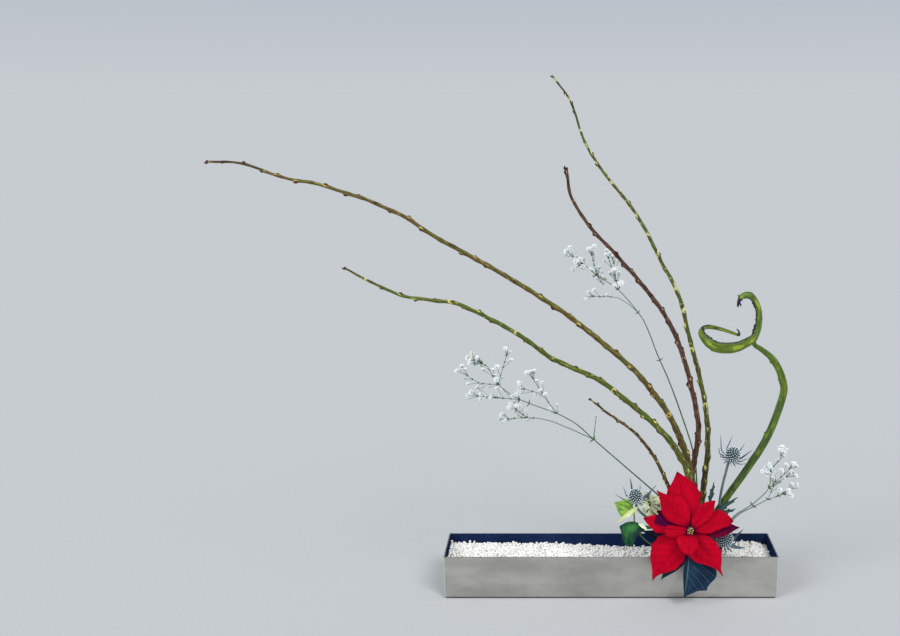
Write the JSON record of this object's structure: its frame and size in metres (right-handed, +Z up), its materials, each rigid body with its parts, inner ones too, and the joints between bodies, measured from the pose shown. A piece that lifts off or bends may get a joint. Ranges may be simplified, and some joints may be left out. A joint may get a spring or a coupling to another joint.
{
  "type": "ikebana arrangement",
  "caption": "Ikebana of willow branches, gypsophila, sea holly, ivy and a red poinsettia on a pin holder in a long, low steel tray of white pebbles.",
  "frame": {"origin": "on the table, under the middle of the tray's base pad", "axes": "+Z up, +X along the tray to the viewer's right, -Y towards the front, the side that the poinsettia faces"},
  "size_m": [0.9585, 0.3284, 0.9196],
  "materials": {
    "brushed_steel": "brushed outside, smooth dark lacquer inside",
    "black_rubber": "matt black",
    "lead": "dull grey lead",
    "brass": "bare metal",
    "white_pebble": "small matt white pebbles",
    "olive_bark": "smooth olive bark with brown bud scars",
    "green_bark": "smooth green bark",
    "brown_bark": "smooth red-brown bark",
    "gypsophila_green": "thin green stem",
    "sea_holly_blue": "blue-green, dry",
    "poinsettia_red": "soft red bract",
    "poinsettia_green": "dark blue-green leaf",
    "cyathium_yellow": "yellow-green with red tips",
    "ivy_green": "waxy dark green",
    "ivy_lime": "waxy lime green",
    "cream_leaf": "cream with green"
  },
  "bodies": {
    "root": {"base_pad": "black_rubber", "bract_bottom_inner": "poinsettia_red", "bract_left": "poinsettia_red", "bract_left_back": "poinsettia_red", "bract_left_inner": "poinsettia_red", "bract_left_lower": "poinsettia_red", "bract_left_upper": "poinsettia_red", "bract_right": "poinsettia_red", "bract_right_back": "poinsettia_red", "bract_right_lower": "poinsettia_red", "bract_right_upper": "poinsettia_red", "bract_top": "poinsettia_red", "cyathia": "cyathium_yellow", "gypsophila_left": "gypsophila_green", "gypsophila_middle": "gypsophila_green", "gypsophila_right_high": "gypsophila_green", "gypsophila_right_low": "gypsophila_green", "ivy_leaf_cream": "cream_leaf", "ivy_leaf_dark": "ivy_green", "ivy_leaf_lime": "ivy_lime", "ivy_stem": "ivy_green", "kenzan_base": "lead", "kenzan_needles": "brass", "pebble_bed": "white_pebble", "poinsettia_leaf_back": "poinsettia_green", "poinsettia_leaf_front": "poinsettia_green", "poinsettia_leaf_left": "poinsettia_green", "poinsettia_stem": "poinsettia_green", "sea_holly_high_collar": "sea_holly_blue", "sea_holly_high_cone": "sea_holly_blue", "sea_holly_high_leaf_low": "sea_holly_blue", "sea_holly_high_leaf_right": "sea_holly_blue", "sea_holly_high_leaf_upper": "sea_holly_blue", "sea_holly_high_stem": "sea_holly_blue", "sea_holly_left_collar": "sea_holly_blue", "sea_holly_left_cone": "sea_holly_blue", "sea_holly_left_stem": "sea_holly_blue", "sea_holly_low_collar": "sea_holly_blue", "sea_holly_low_cone": "sea_holly_blue", "sea_holly_low_stem": "sea_holly_blue", "sprig_leaf_inner": "cream_leaf", "sprig_leaf_left": "cream_leaf", "sprig_leaf_low": "cream_leaf", "sprig_leaf_right": "cream_leaf", "sprig_leaf_top": "cream_leaf", "sprig_stem": "gypsophila_green", "tray": "brushed_steel", "willow_brown": "brown_bark", "willow_curled": "green_bark", "willow_long": "olive_bark", "willow_low": "green_bark", "willow_tall": "green_bark", "willow_twig": "green_bark"}
  },
  "joints": []
}
